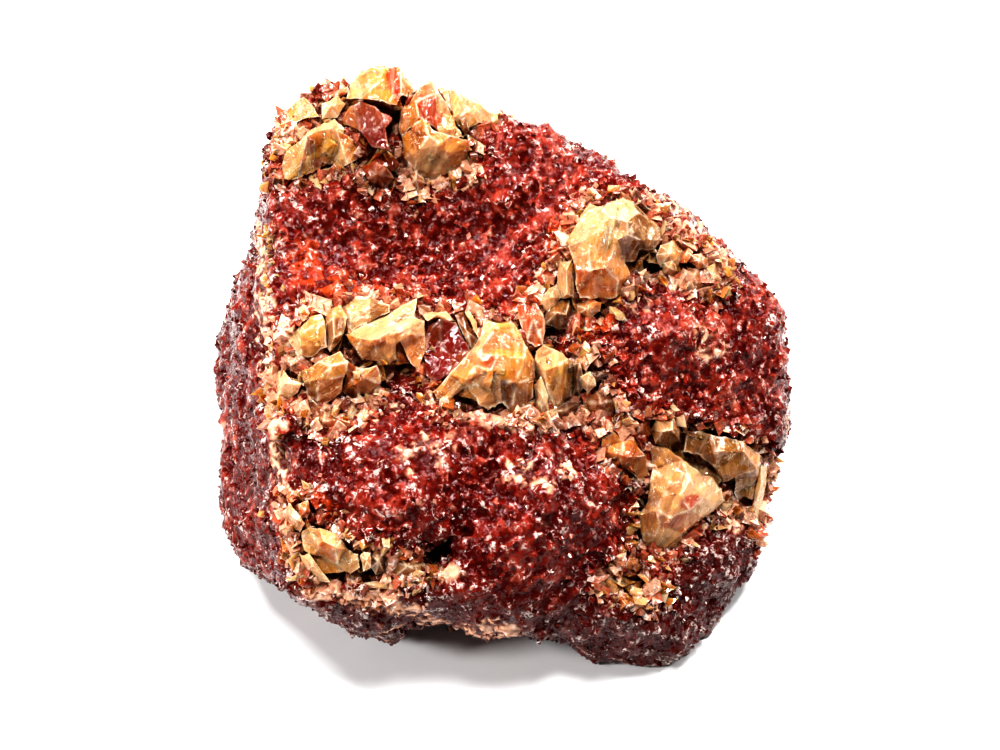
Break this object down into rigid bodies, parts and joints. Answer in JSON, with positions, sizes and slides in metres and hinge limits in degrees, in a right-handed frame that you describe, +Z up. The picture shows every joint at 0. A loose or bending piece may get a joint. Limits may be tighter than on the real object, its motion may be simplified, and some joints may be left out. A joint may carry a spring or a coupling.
{
  "type": "raw calcite",
  "caption": "Hand-sized lump of raw red granular calcite with clusters of large honey-coloured crystals set in its upper side, resting on a flat broken face.",
  "frame": {"origin": "centre of the bounding box, in the plane of the flat face that the lump rests on", "axes": "+Z up from the resting face; +X to the right and -Y towards a viewer who looks at the side with the crystals"},
  "size_m": [0.1162, 0.1082, 0.0673],
  "materials": {
    "red_calcite": "granular, glassy sparkle on each grain",
    "honey_calcite": "translucent, glassy on cleavage faces with frosted edges"
  },
  "bodies": {
    "root": {"red_calcite": "red_calcite", "crown_crystals": "honey_calcite", "left_ledge_crystals": "honey_calcite", "middle_crystals": "honey_calcite", "shoulder_crystals": "honey_calcite", "corner_crystals": "honey_calcite", "cleft_crystals": "honey_calcite", "lower_left_crystals": "honey_calcite", "foot_crystals": "honey_calcite"}
  },
  "joints": []
}
